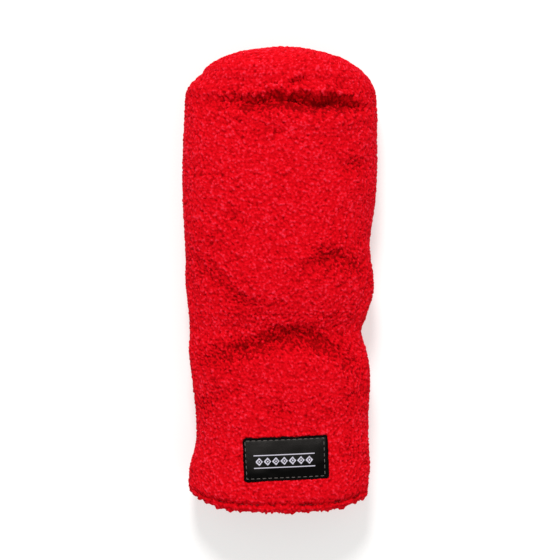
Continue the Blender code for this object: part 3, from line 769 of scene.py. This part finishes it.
def simulate_settling():
    """Lets the sleeve's cloth settle on the floor with a stuffed feel, and returns its depth table in millimetres.

    A cage ten times life size is simulated, pinned along its side seams and drawn in where the elastic sits."""
    ug, wg = np.meshgrid(np.arange(SETTLE_COLS) * ROUND / SETTLE_COLS, SETTLE_W, indexing="xy")
    skin, n = surface(ug, wg), normal_of(ug, wg)
    start = skin - n * macro(skin, ug, wg)[..., None]
    start[..., 2] = np.maximum(start[..., 2], 0.3)
    rows = len(SETTLE_W)
    pole = np.array([[CENTRE_X, HALF_LENGTH, Z_SEAM]])
    points = np.concatenate([start.reshape(-1, 3), pole]) * 0.01
    idx = np.arange(rows * SETTLE_COLS).reshape(rows, SETTLE_COLS)
    nxt = np.roll(idx, -1, axis=1)
    faces = [tuple(int(v) for v in f) for f in np.stack([idx[:-1], nxt[:-1], nxt[1:], idx[1:]], -1).reshape(-1, 4)]
    faces += [(int(idx[-1, k]), int(nxt[-1, k]), rows * SETTLE_COLS) for k in range(SETTLE_COLS)]
    mesh = bpy.data.meshes.new("settling_cage")
    mesh.from_pydata([tuple(map(float, p)) for p in points], [], faces)
    mesh.update()
    cage = bpy.data.objects.new("settling_cage", mesh)
    bpy.context.scene.collection.objects.link(cage)
    pins, draw = cage.vertex_groups.new(name="pins"), cage.vertex_groups.new(name="draw")
    for k in range(len(points) - 1):
        u, w = ug.ravel()[k], wg.ravel()[k]
        away = min(abs(u), abs(u - 18), abs(u - 36))
        if away < 1.1:
            pins.add([k], 1.0 if away < 0.6 else 0.6, "REPLACE")
        neck = math.exp(-(((w + 36) / 9.0) ** 2))
        if neck > 0.05:
            draw.add([k], neck, "REPLACE")
    ground_mesh = bpy.data.meshes.new("settling_ground")
    ground_mesh.from_pydata([(-9, -9, 0), (9, -9, 0), (9, 9, 0), (-9, 9, 0)], [], [(0, 1, 2, 3)])
    ground = bpy.data.objects.new("settling_ground", ground_mesh)
    bpy.context.scene.collection.objects.link(ground)
    ground.modifiers.new("hit", "COLLISION")
    ground.collision.thickness_outer = 0.01
    cloth = cage.modifiers.new("cloth", "CLOTH")
    settings = cloth.settings
    settings.quality = 6
    settings.mass = 0.35
    settings.tension_stiffness = settings.compression_stiffness = 12
    settings.shear_stiffness = 4
    settings.bending_stiffness = 1.2
    settings.air_damping = 2.0
    settings.use_pressure = True
    settings.uniform_pressure_force = 1.4
    settings.vertex_group_mass = "pins"
    settings.pin_stiffness = 1.0
    settings.effector_weights.gravity = 0.02
    settings.vertex_group_shrink = "draw"
    settings.shrink_min, settings.shrink_max = 0.0, 0.10
    cloth.collision_settings.collision_quality = 3
    cloth.collision_settings.distance_min = 0.01
    cloth.point_cache.frame_start, cloth.point_cache.frame_end = 1, 40
    scene = bpy.context.scene
    for frame_number in range(1, 41):
        scene.frame_set(frame_number)
    graph = bpy.context.evaluated_depsgraph_get()
    shape = cage.evaluated_get(graph).to_mesh()
    out = np.zeros(len(shape.vertices) * 3)
    shape.vertices.foreach_get("co", out)
    cage.evaluated_get(graph).to_mesh_clear()
    scene.frame_set(1)
    for obj in (cage, ground):
        data = obj.data
        bpy.data.objects.remove(obj)
        bpy.data.meshes.remove(data)
    moved = out.reshape(-1, 3)[:-1].reshape(rows, SETTLE_COLS, 3) * 100.0 - start
    depth = -(moved * n).sum(-1)
    print("SETTLE raw mm", np.round(np.percentile(depth, [0, 5, 50, 95, 100]), 2))
    depth = np.nan_to_num(depth)
    # the general sag is taken out, the folds stay
    wide = depth.copy()
    for _ in range(30):
        wide = (wide + np.roll(wide, 1, 1) + np.roll(wide, -1, 1)) / 3
        wide[1:-1] = (wide[:-2] + wide[1:-1] + wide[2:]) / 3
    depth = depth - 0.8 * wide
    depth = 2.2 * np.tanh(0.65 * depth / 2.2)
    depth *= np.clip((CROWN_SEAM + 24 - SETTLE_W) / 24, 0, 1)[:, None]
    print("SETTLE kept mm", np.round(np.percentile(depth, [0, 5, 50, 95, 100]), 2))
    return depth


def closed_check(obj):
    """Recalculates a closed mesh's normals outwards, and reports open edges."""
    import bmesh

    bm = bmesh.new()
    bm.from_mesh(obj.data)
    bmesh.ops.recalc_face_normals(bm, faces=bm.faces)
    if bm.calc_volume(signed=True) < 0:
        bmesh.ops.reverse_faces(bm, faces=bm.faces)
    loose = sum(len(e.link_faces) != 2 for e in bm.edges)
    volume = bm.calc_volume(signed=True)
    bm.to_mesh(obj.data)
    bm.free()
    print("MESH", obj.name, "faces", len(obj.data.polygons), "open edges", loose, "cm3", round(volume * 1e6, 1))


# ------------------------------------------------------------------------------------------------ materials


def new_material(name):
    made = bpy.data.materials.new(name)
    made.use_nodes = True
    tree = made.node_tree
    tree.nodes.clear()
    out = tree.nodes.new("ShaderNodeOutputMaterial")
    bsdf = tree.nodes.new("ShaderNodeBsdfPrincipled")
    tree.links.new(bsdf.outputs["BSDF"], out.inputs["Surface"])
    return made, tree, bsdf


def ramp_node(tree, stops):
    node = tree.nodes.new("ShaderNodeValToRGB")
    while len(node.color_ramp.elements) > 1:
        node.color_ramp.elements.remove(node.color_ramp.elements[-1])
    node.color_ramp.elements[0].position = stops[0][0]
    node.color_ramp.elements[0].color = (*stops[0][1], 1)
    for position, colour in stops[1:]:
        element = node.color_ramp.elements.new(position)
        element.color = (*colour, 1)
    return node


def math_node(tree, operation, a, b=None, clamp=False):
    node = tree.nodes.new("ShaderNodeMath")
    node.operation = operation
    node.use_clamp = clamp
    for socket, value in ((node.inputs[0], a), (node.inputs[1], b)):
        if value is None:
            continue
        if isinstance(value, (int, float)):
            socket.default_value = value
        else:
            tree.links.new(value, socket)
    return node.outputs[0]


def sherpa_material():
    made, tree, bsdf = new_material("sherpa_red")
    pile = tree.nodes.new("ShaderNodeAttribute")
    pile.attribute_name = "pile"
    tone = tree.nodes.new("ShaderNodeAttribute")
    tone.attribute_name = "tone"
    coords = tree.nodes.new("ShaderNodeTexCoord")
    fibre = tree.nodes.new("ShaderNodeTexNoise")
    fibre.inputs["Scale"].default_value = 1500.0
    fibre.inputs["Detail"].default_value = 3.0
    fibre.inputs["Roughness"].default_value = 0.65
    fibre.inputs["Distortion"].default_value = 1.2
    tree.links.new(coords.outputs["Object"], fibre.inputs["Vector"])
    patch = tree.nodes.new("ShaderNodeTexNoise")
    patch.inputs["Scale"].default_value = 45.0
    patch.inputs["Detail"].default_value = 2.0
    tree.links.new(coords.outputs["Object"], patch.inputs["Vector"])
    nub = tree.nodes.new("ShaderNodeTexVoronoi")
    nub.feature = "SMOOTH_F1"
    nub.inputs["Scale"].default_value = 520.0
    nub.inputs["Smoothness"].default_value = 0.5
    tree.links.new(coords.outputs["Object"], nub.inputs["Vector"])
    round_nub = math_node(tree, "SUBTRACT", 1.0, nub.outputs["Distance"])
    # colour from the height of the pile, with painted shade darkening its gaps, creases, seams and the hem's groove,
    # roughened by the fibres, the small nubs (lighter at their middles, a painted highlight on each bead) and the tone
    # of each curl
    level = math_node(tree, "MULTIPLY", pile.outputs["Fac"], 0.34)
    grain = math_node(tree, "MULTIPLY_ADD", fibre.outputs["Fac"], 0.22)
    tree.links.new(level, grain.node.inputs[2])
    beads = math_node(tree, "MULTIPLY_ADD", round_nub, 0.48)
    tree.links.new(grain, beads.node.inputs[2])
    shade = math_node(tree, "MULTIPLY_ADD", tone.outputs["Fac"], 0.12)
    tree.links.new(beads, shade.node.inputs[2])
    soft = math_node(tree, "MULTIPLY_ADD", patch.outputs["Fac"], 0.12)
    tree.links.new(shade, soft.node.inputs[2])
    stretch = math_node(tree, "MULTIPLY_ADD", soft, 1.35)
    stretch.node.inputs[2].default_value = -0.62
    # painted shade and highlight: the low stops are the dark red of shaded gaps and creases, the top stop a pinkish
    # painted highlight on the tops of the curls
    ramp = ramp_node(
        tree,
        [
            (0.0, (0.30, 0.0003, 0.0014)),
            (0.32, (0.58, 0.0010, 0.0045)),
            (0.62, (0.73, 0.0024, 0.0090)),
            (0.95, (0.82, 0.0240, 0.0520)),
        ],
    )
    tree.links.new(stretch, ramp.inputs["Fac"])
    tree.links.new(ramp.outputs["Color"], bsdf.inputs["Base Color"])
    bsdf.inputs["Roughness"].default_value = 0.8
    bsdf.inputs["Specular IOR Level"].default_value = 0.03
    bsdf.inputs["Sheen Weight"].default_value = 0.10
    bsdf.inputs["Sheen Roughness"].default_value = 0.35
    bsdf.inputs["Sheen Tint"].default_value = (0.8, 0.08, 0.30, 1)
    bump = tree.nodes.new("ShaderNodeBump")
    bump.inputs["Strength"].default_value = 0.9
    bump.inputs["Distance"].default_value = 0.0009
    relief = math_node(tree, "MULTIPLY_ADD", round_nub, 0.75)
    rough = math_node(tree, "MULTIPLY", fibre.outputs["Fac"], 0.28)
    tree.links.new(rough, relief.node.inputs[2])
    tree.links.new(relief, bump.inputs["Height"])
    tree.links.new(bump.outputs["Normal"], bsdf.inputs["Normal"])
    return made


def floor_material():
    made, tree, bsdf = new_material("floor")
    bsdf.inputs["Base Color"].default_value = (0.55, 0.55, 0.545, 1)
    bsdf.inputs["Roughness"].default_value = 0.9
    bsdf.inputs["Specular IOR Level"].default_value = 0.0
    bsdf.inputs["Emission Color"].default_value = (1.0, 1.0, 0.985, 1)
    bsdf.inputs["Emission Strength"].default_value = 0.46
    return made


def lining_material():
    made, tree, bsdf = new_material("lining")
    coords = tree.nodes.new("ShaderNodeTexCoord")
    rib = tree.nodes.new("ShaderNodeTexWave")
    rib.wave_type = "BANDS"
    rib.bands_direction = "X"
    rib.inputs["Scale"].default_value = 220.0
    rib.inputs["Distortion"].default_value = 0.6
    rib.inputs["Detail"].default_value = 1.0
    tree.links.new(coords.outputs["Object"], rib.inputs["Vector"])
    mottle = tree.nodes.new("ShaderNodeTexNoise")
    mottle.inputs["Scale"].default_value = 900.0
    tree.links.new(coords.outputs["Object"], mottle.inputs["Vector"])
    ramp = ramp_node(tree, [(0.2, (0.010, 0.010, 0.012)), (0.8, (0.030, 0.030, 0.034))])
    mixed = math_node(tree, "MULTIPLY_ADD", rib.outputs["Fac"], 0.5)
    half = math_node(tree, "MULTIPLY", mottle.outputs["Fac"], 0.5)
    tree.links.new(half, mixed.node.inputs[2])
    tree.links.new(mixed, ramp.inputs["Fac"])
    tree.links.new(ramp.outputs["Color"], bsdf.inputs["Base Color"])
    bsdf.inputs["Roughness"].default_value = 0.85
    bsdf.inputs["Specular IOR Level"].default_value = 0.2
    bsdf.inputs["Sheen Weight"].default_value = 0.2
    bump = tree.nodes.new("ShaderNodeBump")
    bump.inputs["Strength"].default_value = 0.6
    bump.inputs["Distance"].default_value = 0.0003
    tree.links.new(mixed, bump.inputs["Height"])
    tree.links.new(bump.outputs["Normal"], bsdf.inputs["Normal"])
    return made


def elastic_material():
    made, tree, bsdf = new_material("elastic")
    coords = tree.nodes.new("ShaderNodeTexCoord")
    rib = tree.nodes.new("ShaderNodeTexWave")
    rib.wave_type = "BANDS"
    rib.bands_direction = "Y"
    rib.inputs["Scale"].default_value = 200.0
    tree.links.new(coords.outputs["Object"], rib.inputs["Vector"])
    ramp = ramp_node(tree, [(0.0, (0.42, 0.41, 0.39)), (1.0, (0.78, 0.77, 0.74))])
    tree.links.new(rib.outputs["Fac"], ramp.inputs["Fac"])
    tree.links.new(ramp.outputs["Color"], bsdf.inputs["Base Color"])
    bsdf.inputs["Roughness"].default_value = 0.7
    bump = tree.nodes.new("ShaderNodeBump")
    bump.inputs["Strength"].default_value = 0.5
    bump.inputs["Distance"].default_value = 0.0002
    tree.links.new(rib.outputs["Fac"], bump.inputs["Height"])
    tree.links.new(bump.outputs["Normal"], bsdf.inputs["Normal"])
    return made


def thread_material(name, dark, light):
    made, tree, bsdf = new_material(name)
    coords = tree.nodes.new("ShaderNodeTexCoord")
    ply = tree.nodes.new("ShaderNodeTexWave")
    ply.wave_type = "BANDS"
    ply.bands_direction = "DIAGONAL"
    ply.inputs["Scale"].default_value = 900.0
    tree.links.new(coords.outputs["Object"], ply.inputs["Vector"])
    ramp = ramp_node(tree, [(0.0, dark), (1.0, light)])
    tree.links.new(ply.outputs["Fac"], ramp.inputs["Fac"])
    tree.links.new(ramp.outputs["Color"], bsdf.inputs["Base Color"])
    bsdf.inputs["Roughness"].default_value = 0.55
    bsdf.inputs["Specular IOR Level"].default_value = 0.35
    bump = tree.nodes.new("ShaderNodeBump")
    bump.inputs["Strength"].default_value = 0.5
    bump.inputs["Distance"].default_value = 0.0001
    tree.links.new(ply.outputs["Fac"], bump.inputs["Height"])
    tree.links.new(bump.outputs["Normal"], bsdf.inputs["Normal"])
    return made


def label_material():
    """Black satin weave with a pale woven motif and a painted sheen, read from the mesh's own attributes."""
    made, tree, bsdf = new_material("label_black")
    place = tree.nodes.new("ShaderNodeAttribute")
    place.attribute_name = "weave"
    motif = tree.nodes.new("ShaderNodeAttribute")
    motif.attribute_name = "motif"
    split = tree.nodes.new("ShaderNodeSeparateXYZ")
    tree.links.new(place.outputs["Vector"], split.inputs["Vector"])
    # warp and weft, 0.5 and 0.42 mm apart
    across = math_node(tree, "SINE", math_node(tree, "MULTIPLY", split.outputs["X"], 2 * math.pi / 0.50))
    along = math_node(tree, "SINE", math_node(tree, "MULTIPLY", split.outputs["Y"], 2 * math.pi / 0.42))
    weave = math_node(tree, "MULTIPLY_ADD", across, 0.25)
    part = math_node(tree, "MULTIPLY_ADD", along, 0.25)
    part.node.inputs[2].default_value = 0.5
    tree.links.new(part, weave.node.inputs[2])
    # painted sheen: the ground colour is lighter where the sheen mask is high, towards the label's upper left; the same
    # mask also sets the specular level
    ground = ramp_node(tree, [(0.0, (0.0009, 0.0008, 0.0008)), (0.6, (0.0110, 0.0096, 0.0086))])
    painted_sheen = tree.nodes.new("ShaderNodeAttribute")
    painted_sheen.attribute_name = "painted_sheen"
    painted_sheen_weave = math_node(tree, "MULTIPLY", weave, painted_sheen.outputs["Fac"])
    tree.links.new(painted_sheen_weave, ground.inputs["Fac"])
    shine = math_node(tree, "MULTIPLY_ADD", painted_sheen.outputs["Fac"], 0.26)
    shine.node.inputs[2].default_value = 0.02
    tree.links.new(shine, bsdf.inputs["Specular IOR Level"])
    figure = ramp_node(tree, [(0.0, (0.46, 0.43, 0.52)), (1.0, (0.80, 0.77, 0.86))])
    tree.links.new(weave, figure.inputs["Fac"])
    blend = tree.nodes.new("ShaderNodeMix")
    blend.data_type = "RGBA"
    tree.links.new(motif.outputs["Fac"], blend.inputs[0])
    tree.links.new(ground.outputs["Color"], blend.inputs[6])
    tree.links.new(figure.outputs["Color"], blend.inputs[7])
    tree.links.new(blend.outputs[2], bsdf.inputs["Base Color"])
    bsdf.inputs["Roughness"].default_value = 0.42
    bsdf.inputs["Specular Tint"].default_value = (1.0, 0.95, 0.9, 1)
    bsdf.inputs["Sheen Weight"].default_value = 0.0
    bump = tree.nodes.new("ShaderNodeBump")
    bump.inputs["Strength"].default_value = 0.7
    bump.inputs["Distance"].default_value = 0.00012
    tree.links.new(weave, bump.inputs["Height"])
    tree.links.new(bump.outputs["Normal"], bsdf.inputs["Normal"])
    return made


# ------------------------------------------------------------------------------------------------ label


def find(x, y):
    """Ring position and y of the front's surface point that lies at plan coordinates x, y."""
    x, y = np.asarray(x, float), np.asarray(y, float)
    u, w = 9.0 + x / 9.2, y.copy()
    for _ in range(14):
        p = surface(u, w)
        u = np.clip(u + (x - p[..., 0]) / 9.6, 0.4, 17.6)
        w = w + (y - p[..., 1])
    return u, w


def label_skin(p, q):
    """Height points and normals of the cloth that the label lies on, at label coordinates."""
    c, k = math.cos(LABEL_TURN), math.sin(LABEL_TURN)
    x, y = LABEL_X + p * c - q * k, LABEL_Y + p * k + q * c
    u, w = find(x, y)
    skin, n = surface(u, w), normal_of(u, w)
    deep = macro(skin, u, w)
    return skin - n * deep[..., None], n


STITCH_LEFT, STITCH_RIGHT, STITCH_TOP, STITCH_BOTTOM = 1.7, 2.7, 1.9, 2.0
LABEL_RAISE, LABEL_T = 0.15, 0.75


def label_relief(p, q):
    """Rise of the label's face over the cloth: puckers along the stitches and a soft fold round the border."""
    to_side = np.minimum(
        np.minimum(np.abs(p + LABEL_W / 2 - STITCH_LEFT), np.abs(p - LABEL_W / 2 + STITCH_RIGHT)),
        np.minimum(np.abs(q - LABEL_H / 2 + STITCH_TOP), np.abs(q + LABEL_H / 2 - STITCH_BOTTOM)),
    )
    out = rounded_box(p, q, LABEL_W / 2, LABEL_H / 2, 1.4)
    relief = LABEL_RAISE - 0.28 * np.exp(-((to_side / 0.45) ** 2))
    relief = relief + 0.35 * lattice_noise(p / 11 + 3, q / 8, 71) + 0.10 * lattice_noise(p / 3.2, q / 3.0, 72)
    ripple = 0.12 * np.sin(2 * math.pi * p / 3.9 + 0.6) * np.exp(-((np.abs(out) / 2.6) ** 2))
    swell = 0.35 * np.clip(-out / 6.0, 0, 1)
    return relief + ripple + swell


def motif_at(p, q):
    """A row of plain diamonds between two fine lines, generic and without letters."""
    p, q = p + 1.2, q + 1.4
    cell = 5.6
    within = np.abs(p) < 4 * cell - cell / 2
    local = np.mod(p + cell / 2, cell) - cell / 2
    diamond = np.abs(local) / 2.45 + np.abs(q) / 2.7
    ring = (diamond < 1.0) & (diamond > 0.60) | (diamond < 0.28)
    lines = (np.abs(np.abs(q) - 4.3) < 0.27) & (np.abs(p) < 20.5)
    return (within & ring) | lines


def woven_label(name):
    cols, rows = 206, 106
    a, b = np.meshgrid(np.linspace(-1, 1, cols), np.linspace(-1, 1, rows), indexing="xy")
    half_w, half_h = LABEL_W / 2, LABEL_H / 2
    p, q = a * half_w, b * half_h
    radius = np.where(a < 0, np.where(b > 0, 3.2, 2.0), np.where(b > 0, 1.6, 2.2))
    into = np.clip(np.abs(q) - (half_h - radius), 0, radius)
    shrink = radius - np.sqrt(np.maximum(radius**2 - into**2, 0))
    near = np.clip((np.abs(p) - (half_w - 7)) / 7, 0, 1) ** 2
    p = p - np.sign(a) * shrink * near
    fray = 0.42 * lattice_noise(p / 5.0, np.sign(b) * 3.7 + 9, 81) + 0.26 * lattice_noise(p / 1.9, np.sign(b) * 5.7, 82)
    q = q + fray * np.clip((np.abs(q) - (half_h - 4)) / 4, 0, 1) ** 2
    wave = 0.38 * lattice_noise(np.sign(a) * 3.7 + 5, q / 3.4, 83)
    p = p + wave * np.clip((np.abs(p) - (half_w - 4)) / 4, 0, 1) ** 2
    ground, n = label_skin(p, q)
    rise = label_relief(p, q)
    figure = motif_at(p, q)
    edge = np.clip(-rounded_box(p, q, half_w, half_h, 1.4) / 0.5, 0, 1)
    roll = 0.30 * (1 - np.sqrt(np.maximum(1 - (1 - edge) ** 2, 0)))
    top = ground + n * (rise + 0.06 * figure - roll)[..., None]
    under = ground + n * (rise - LABEL_T + roll)[..., None]
    flat = np.stack([p, q, np.zeros_like(p)], -1).reshape(-1, 3)
    marks = np.concatenate([figure.ravel() * 1.0, np.zeros(figure.size)])
    inside = np.clip((-rounded_box(p, q, half_w, half_h, 1.4) - 1.4) / 0.8, 0, 1)
    # painted sheen: lighter towards the upper left and darker towards the lower right, with none along the border, as
    # light falls on the satin
    painted_sheen_slope = 0.26 - 0.008 * p + 0.036 * q + 0.16 * lattice_noise(p / 9, q / 6, 77)
    painted_sheen = np.clip(inside * painted_sheen_slope, 0, 1) + 0.05
    obj = closed_pair(name, top, under, {"motif": marks, "painted_sheen": np.concatenate([painted_sheen.ravel(), painted_sheen.ravel() * 0.3])})
    layer = obj.data.attributes.new("weave", "FLOAT_VECTOR", "POINT")
    layer.data.foreach_set("vector", np.concatenate([flat, flat]).astype(np.float32).ravel())
    return obj


def label_stitch_paths():
    """The four sides of the stitch line as one loop on the label's face."""
    x0, x1 = -LABEL_W / 2 + STITCH_LEFT, LABEL_W / 2 - STITCH_RIGHT
    y0, y1 = -LABEL_H / 2 + STITCH_BOTTOM, LABEL_H / 2 - STITCH_TOP
    corners = [(x0, y1), (x1, y1 - 0.2), (x1 - 0.3, y0), (x0 + 0.3, y0), (x0, y1)]
    pts = []
    for (ax, ay), (bx, by) in zip(corners, corners[1:]):
        f = np.linspace(0, 1, 60)[:-1]
        pts.append(np.stack([ax + (bx - ax) * f, ay + (by - ay) * f], 1))
    pq = np.concatenate(pts)
    ground, n = label_skin(pq[:, 0], pq[:, 1])
    return [(ground + n * label_relief(pq[:, 0], pq[:, 1])[:, None], n, True)]


# ------------------------------------------------------------------------------------------------ build

SETTLED = simulate_settling()

SHERPA = sherpa_material()
LINING = lining_material()
ELASTIC = elastic_material()
LABEL = label_material()
THREAD_RED = thread_material("thread_red", (0.30, 0.002, 0.004), (0.55, 0.006, 0.012))
THREAD_BLACK = thread_material("thread_black", (0.012, 0.011, 0.010), (0.050, 0.044, 0.040))
THREAD_LABEL = thread_material("thread_label", (0.045, 0.038, 0.034), (0.15, 0.13, 0.12))


def place(obj, node, slot, material):
    closed_check(obj)
    obj.data.materials.append(material)
    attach(obj, "root")
    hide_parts(node)
    return obj


for obj, node in (
    (panel("sherpa_back_panel", 36.0, 18.0, 23, Z_SEAM - 0.08), "outer_back_panel"),
    (panel("sherpa_front_panel", 0.0, 18.0, 11, Z_SEAM + 0.08), "outer_front_panel"),
    (crown_panel("sherpa_crown_panel", 37), "outer_crown_panel"),
):
    place(obj, node, "sherpa_red", SHERPA)

LINING_IN, LINING_WALL, LINING_CROWN = 8.6, 1.3, 134.0
LINING_LOW = -139.0
lining_front = inset_panel(
    "knit_lining_front", 0.0, 18.0, LINING_LOW, LINING_CROWN - 0.4, LINING_IN, LINING_WALL, 91, 161, Z_SEAM + 0.35
)
lining_back = inset_panel(
    "knit_lining_back", 36.0, 18.0, LINING_LOW, LINING_CROWN - 0.4, LINING_IN, LINING_WALL, 91, 161, Z_SEAM - 0.35, seed=13
)
dp, dq, dshare, du_, dw_, dskin, dn = dome_grid(36, 22, LINING_CROWN)
ddeep = macro(dskin, du_, dw_) * 0.85
dwob = 0.2 * lattice_noise(dp * 6, dq * 4, 19)
dome_out = dskin - dn * (LINING_IN + ddeep + dwob)[..., None]
dome_in = dskin - dn * (LINING_IN + LINING_WALL + ddeep + dwob)[..., None]
dome_out[..., 1] = np.maximum(dome_out[..., 1], LINING_CROWN + 0.4)
dome_in[..., 1] = np.maximum(dome_in[..., 1], LINING_CROWN + 0.4)
lining_crown = closed_pair("knit_lining_crown", dome_out, dome_in)
for obj, node in (
    (lining_front, "lining_front_panel"),
    (lining_back, "lining_back_panel"),
    (lining_crown, "lining_crown_panel"),
):
    place(obj, node, "lining", LINING)

elastic = inset_band("neck_elastic_band", -45.0, -25.0, 6.4, 0.9, 360, 41)
place(elastic, "neck_elastic", "elastic", ELASTIC)

zig_u = np.arange(0, 36, 0.125)
zig_phase = np.mod(zig_u / 2.0, 1.0) * 4
zig_y = -35.0 + 4.0 * np.where(
    zig_phase < 1, zig_phase, np.where(zig_phase < 3, 2 - zig_phase, zig_phase - 4)
)
zig_skin, zig_n = surface(zig_u, zig_y), normal_of(zig_u, zig_y)
zig = zig_skin - zig_n * (6.15 + 0.9 * macro(zig_skin, zig_u, zig_y))[:, None]
place(sweeps("neck_zigzag_thread", [(zig, 0.2, True)], 6), "neck_elastic_stitching", "thread_red", THREAD_RED)

label = woven_label("woven_patch")
place(label, "woven_label", "label_black", LABEL)
label_thread = stitches("woven_patch_stitches", label_stitch_paths(), 3.9, 2.6, 0.27, 0.16, 0.45, 8, 5)
place(label_thread, "label_stitching", "thread_black", THREAD_LABEL)

# the hem's stitches lie at the bottom of their groove
hem_u = np.arange(0, 36, 0.1)
hem_w = np.full(len(hem_u), -151.6)
hem_skin, hem_n = surface(hem_u, hem_w), normal_of(hem_u, hem_w)
hem = hem_skin - hem_n * (PILE_SINK + 1.75 + macro(hem_skin, hem_u, hem_w))[:, None]
hem[:, 2] = np.maximum(hem[:, 2], 0.5)
place(
    stitches("hem_stitches", [(hem, hem_n, True)], 3.6, 2.9, 0.3, 0.25, 0.7, 8, 7), "hem_stitching", "thread_red", THREAD_RED
)


def seam_thread(name, u, depth, radius, w0, w1, slot, material, node):
    ws = np.linspace(w0, w1, 220)
    us = np.full(len(ws), float(u))
    skin, n = surface(us, ws), normal_of(us, ws)
    path = skin - n * (depth + macro(skin, us, ws) * (0.85 if depth > 5 else 1.0))[:, None]
    path[:, 2] = Z_SEAM + 0.06 * np.sin(ws * 2 * math.pi / 3.0)
    place(sweeps(name, [(path, radius, False)], 8), node, slot, material)


seam_thread("left_seam_thread", 0.0, 3.0, 0.22, -150.0, 140.0, "thread_red", THREAD_RED, "left_side_seam_thread")
seam_thread("right_seam_thread", 18.0, 3.0, 0.22, -150.0, 140.0, "thread_red", THREAD_RED, "right_side_seam_thread")
seam_thread(
    "lining_left_thread", 0.0, LINING_IN + 0.65, 0.2, LINING_LOW + 0.5, LINING_CROWN - 1.5, "thread_black", THREAD_BLACK,
    "lining_left_seam_thread",
)  # fmt: skip
seam_thread(
    "lining_right_thread", 18.0, LINING_IN + 0.65, 0.2, LINING_LOW + 0.5, LINING_CROWN - 1.5, "thread_black", THREAD_BLACK,
    "lining_right_seam_thread",
)  # fmt: skip


def ring_thread(name, w, depth, radius, slot, material, node):
    us = np.arange(0, 36, 0.1)
    ws = np.full(len(us), float(w))
    skin, n = surface(us, ws), normal_of(us, ws)
    path = skin - n * (depth + macro(skin, us, ws) * (0.85 if depth > 5 else 1.0))[:, None]
    path[:, 1] = w
    place(sweeps(name, [(path, radius, True)], 8), node, slot, material)


ring_thread("crown_thread", CROWN_SEAM, 3.0, 0.22, "thread_red", THREAD_RED, "crown_seam_thread")
ring_thread(
    "lining_crown_thread", LINING_CROWN, LINING_IN + 0.65, 0.2, "thread_black", THREAD_BLACK, "lining_crown_seam_thread"
)

# ------------------------------------------------------------------------------------------------ stage

floor_mesh = bpy.data.meshes.new("floor")
floor_mesh.from_pydata([(-4, -4, 0), (4, -4, 0), (4, 4, 0), (-4, 4, 0)], [], [(0, 1, 2, 3)])
floor = bpy.data.objects.new("floor", floor_mesh)
floor.location = (0, 0, -0.0002)
floor.data.materials.append(floor_material())
bpy.context.scene.collection.objects.link(floor)


def area_light(name, location, target, size, energy, colour=(1, 1, 1)):
    data = bpy.data.lights.new(name, "AREA")
    data.shape = "DISK"
    data.size = size
    data.energy = energy
    data.color = colour
    obj = bpy.data.objects.new(name, data)
    obj.location = location
    obj.rotation_mode = "QUATERNION"
    obj.rotation_quaternion = (Vector(target) - Vector(location)).to_track_quat("-Z", "Y")
    bpy.context.scene.collection.objects.link(obj)
    return obj


area_light("key", (-0.25, 2.9, 2.7), (0, 0, 0.02), 1.0, 125.0)
area_light("fill", (0.9, -1.9, 2.3), (0, 0, 0.02), 2.2, 15.0)
world = bpy.data.worlds.new("studio")
world.use_nodes = True
world.node_tree.nodes["Background"].inputs["Color"].default_value = (1, 1, 1, 1)
world.node_tree.nodes["Background"].inputs["Strength"].default_value = 0.58
bpy.context.scene.world = world
bpy.context.scene.view_settings.view_transform = "Standard"
bpy.context.scene.view_settings.look = "None"

# The camera looks straight down on the cover, as far off as a product photographer stands.
camera_data = bpy.data.cameras.new("camera")
camera = bpy.data.objects.new("camera", camera_data)
DISTANCE = 1.5
camera.location = (0.0, 0.00034, 0.024 + DISTANCE)
camera.rotation_euler = (0, 0, 0)
camera_data.sensor_width = 36.0
camera_data.lens = 36.0 * DISTANCE / (560 * 0.000685)
camera_data.clip_start, camera_data.clip_end = 0.05, 20
bpy.context.scene.collection.objects.link(camera)
bpy.context.scene.camera = camera
